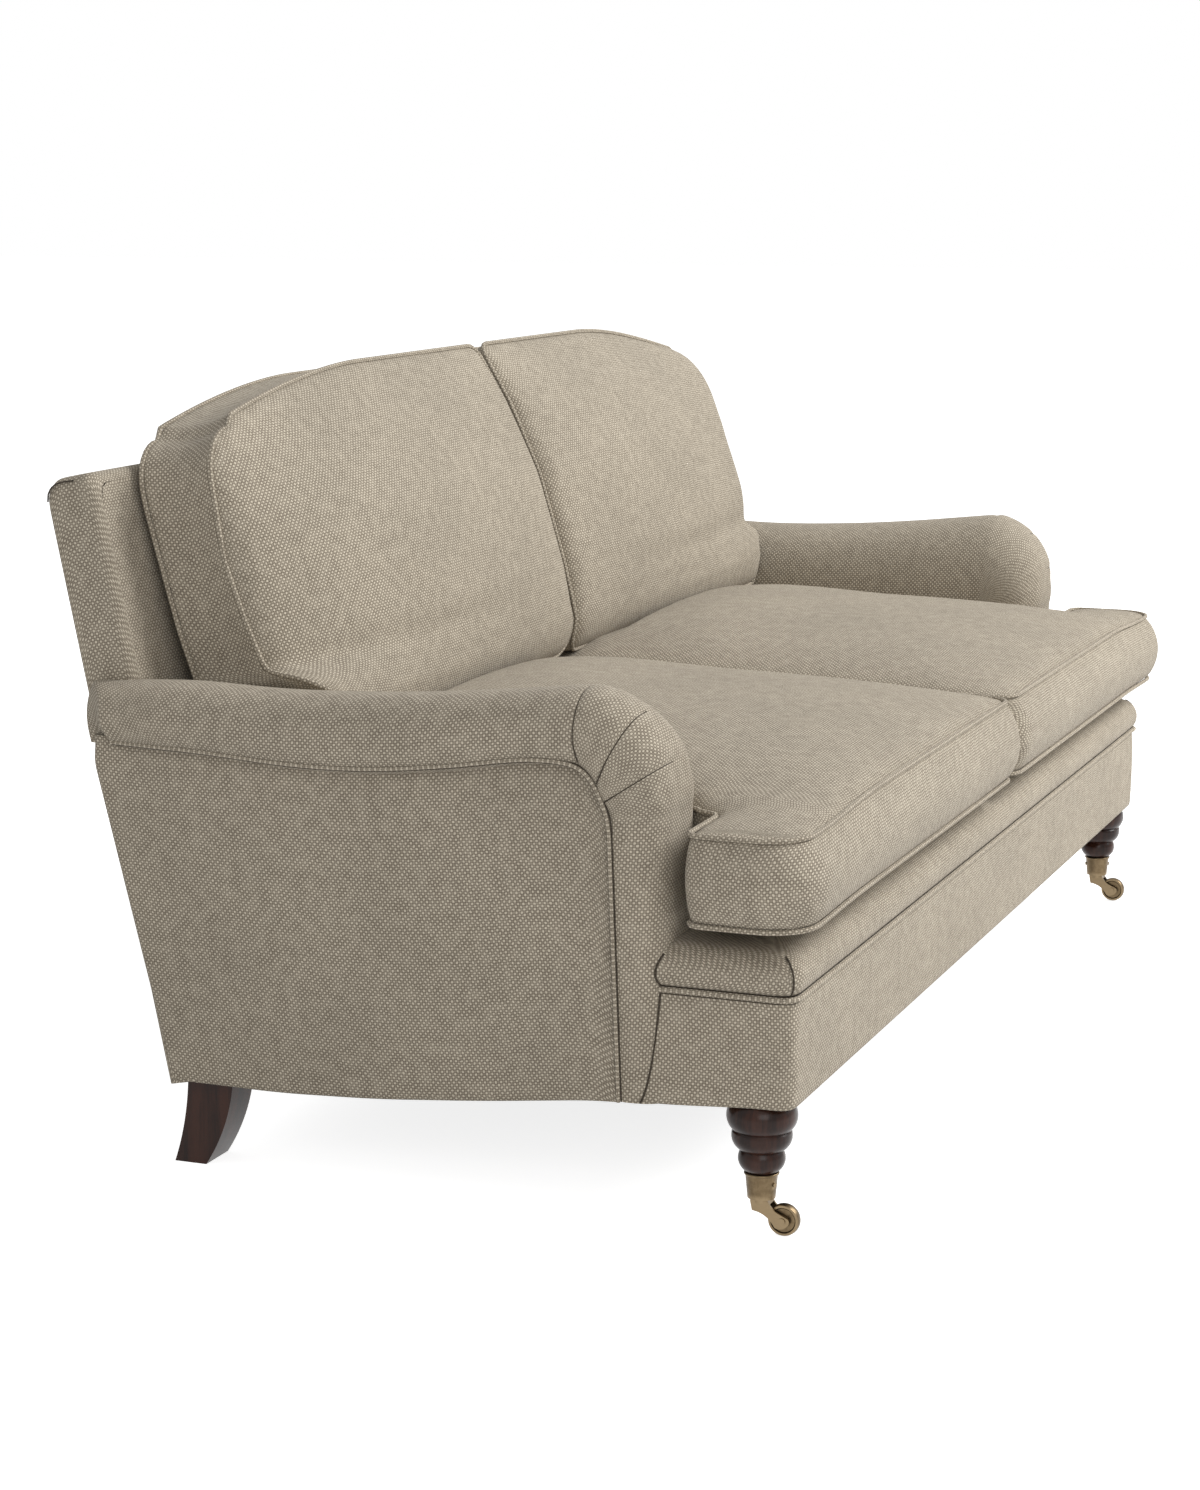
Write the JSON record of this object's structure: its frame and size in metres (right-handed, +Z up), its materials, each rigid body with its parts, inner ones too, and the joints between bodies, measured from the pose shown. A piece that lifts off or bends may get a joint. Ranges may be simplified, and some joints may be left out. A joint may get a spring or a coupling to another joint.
{
  "type": "english roll arm sofa",
  "caption": "English roll arm sofa in pale hopsack cloth, with loose T-shaped seat cushions, loose back cushions, turned front legs on brass castors and sabre back legs.",
  "frame": {"origin": "on the floor, under the middle of the whole sofa", "axes": "the front faces -Y, +X is to the right of someone who looks at the front, +Z is up"},
  "size_m": [1.8804, 0.9398, 0.9145],
  "materials": {
    "cloth": "matte",
    "dark_wood": "satin",
    "frame_wood": "rough sawn",
    "brass": "antique",
    "steel": "plain",
    "hessian": "coarse",
    "black_cloth": "matte",
    "filling": "soft"
  },
  "bodies": {
    "sofa": {"arm_board_left": "frame_wood", "arm_board_right": "frame_wood", "arm_post_left": "frame_wood", "arm_post_right": "frame_wood", "arm_roll_left": "cloth", "arm_roll_right": "cloth", "back_border": "cloth", "back_lower_rail": "frame_wood", "back_post_left": "frame_wood", "back_post_right": "frame_wood", "back_rail": "frame_wood", "back_top_rail": "frame_wood", "back_webbing": "hessian", "border_welt": "cloth", "castor_cup_left": "brass", "castor_cup_pins": "brass", "castor_cup_right": "brass", "corner_blocks": "frame_wood", "dust_cover": "black_cloth", "front_border_roll": "cloth", "front_leg_left": "dark_wood", "front_leg_right": "dark_wood", "front_rail": "frame_wood", "front_rail_cover": "cloth", "inside_arm_left": "cloth", "inside_arm_right": "cloth", "inside_back_pad": "cloth", "leg_bolts": "steel", "outside_arm_left": "cloth", "outside_arm_right": "cloth", "outside_back_panel": "cloth", "rear_leg_left": "dark_wood", "rear_leg_right": "dark_wood", "seat_brace": "frame_wood", "seat_deck": "cloth", "seat_springs": "steel", "side_rail_left": "frame_wood", "side_rail_right": "frame_wood", "spring_clips": "steel", "spring_cloth": "hessian"},
    "castor_left": {"castor_horn_left": "brass", "castor_axle_left": "brass"},
    "wheel_left": {"castor_wheel_left": "brass"},
    "seat_left": {"seat_cushion_cover_left": "cloth", "seat_cushion_core_left": "filling"},
    "back_left": {"back_cushion_cover_left": "cloth", "back_cushion_core_left": "filling"},
    "castor_right": {"castor_horn_right": "brass", "castor_axle_right": "brass"},
    "wheel_right": {"castor_wheel_right": "brass"},
    "seat_right": {"seat_cushion_cover_right": "cloth", "seat_cushion_core_right": "filling"},
    "back_right": {"back_cushion_cover_right": "cloth", "back_cushion_core_right": "filling"}
  },
  "joints": [
    {"name": "castor_swivel_left", "type": "hinge", "parent": "sofa", "child": "castor_left", "pos_m": [-0.853, -0.387, 0.041], "axis": [0, 0, 1], "continuous": true},
    {"name": "wheel_spin_left", "type": "hinge", "parent": "castor_left", "child": "wheel_left", "pos_m": [-0.853, -0.4135, 0.0182], "axis": [1, 0, 0], "continuous": true},
    {"name": "seat_pull_left", "type": "slide", "parent": "sofa", "child": "seat_left", "axis": [0, -1, 0], "range_m": [0, 0.6]},
    {"name": "back_lift_left", "type": "slide", "parent": "sofa", "child": "back_left", "axis": [0, 0.2027, 0.9792], "range_m": [0, 0.5]},
    {"name": "castor_swivel_right", "type": "hinge", "parent": "sofa", "child": "castor_right", "pos_m": [0.853, -0.387, 0.041], "axis": [0, 0, 1], "continuous": true},
    {"name": "wheel_spin_right", "type": "hinge", "parent": "castor_right", "child": "wheel_right", "pos_m": [0.853, -0.4135, 0.0182], "axis": [1, 0, 0], "continuous": true},
    {"name": "seat_pull_right", "type": "slide", "parent": "sofa", "child": "seat_right", "axis": [0, -1, 0], "range_m": [0, 0.6]},
    {"name": "back_lift_right", "type": "slide", "parent": "sofa", "child": "back_right", "axis": [0, 0.2027, 0.9792], "range_m": [0, 0.5]}
  ]
}
